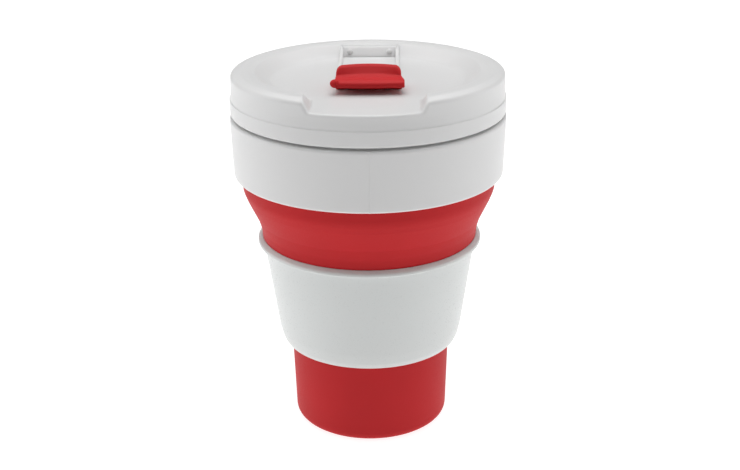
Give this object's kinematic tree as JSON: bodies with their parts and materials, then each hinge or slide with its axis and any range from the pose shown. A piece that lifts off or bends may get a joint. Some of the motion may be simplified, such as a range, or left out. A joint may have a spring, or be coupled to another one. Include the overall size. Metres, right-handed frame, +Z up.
{
  "type": "collapsible travel cup",
  "caption": "Folding silicone travel cup with a tapered foot, heat sleeve, rigid collar and press-on drinking lid with a flip-over stopper.",
  "frame": {"origin": "middle of the foot, on the table the cup stands on", "axes": "+Z up along the cup's axis; the lid's drinking notch faces -Y"},
  "size_m": [0.095, 0.095, 0.1338],
  "materials": {
    "silicone": "matte moulded silicone, red",
    "stopper_silicone": "matte moulded silicone, red",
    "seal_silicone": "translucent white silicone",
    "collar_plastic": "satin white polypropylene",
    "lid_plastic": "satin white polypropylene",
    "sleeve_plastic": "satin cool-white polypropylene"
  },
  "bodies": {
    "base": {"base_cup": "silicone", "lower_fold": "silicone"},
    "middle": {"middle_ring": "silicone", "upper_fold": "silicone"},
    "upper": {"rim_ring": "silicone", "collar": "collar_plastic"},
    "sleeve": {"heat_sleeve": "sleeve_plastic"},
    "lid": {"lid_shell": "lid_plastic", "lid_seal": "seal_silicone", "stopper_anchor": "stopper_silicone"},
    "stopper": {"stopper_tab": "stopper_silicone", "stopper_strap": "stopper_silicone"}
  },
  "joints": [
    {"name": "fold_lower", "type": "slide", "parent": "base", "child": "middle", "axis": [0, 0, -1], "range_m": [0, 0.031], "deforming": ["lower_fold"]},
    {"name": "fold_upper", "type": "slide", "parent": "middle", "child": "upper", "axis": [0, 0, -1], "range_m": [0, 0.046], "deforming": ["upper_fold"]},
    {"name": "sleeve_slide", "type": "slide", "parent": "middle", "child": "sleeve", "axis": [0, 0, -1], "range_m": [0, 0.078]},
    {"name": "lid_lift", "type": "slide", "parent": "upper", "child": "lid", "axis": [0, 0, 1], "range_m": [0, 0.06]},
    {"name": "stopper_flip", "type": "hinge", "parent": "lid", "child": "stopper", "pos_m": [0, 0.003, 0.1292], "axis": [-1, 0, 0], "range_deg": [0, 160]}
  ]
}
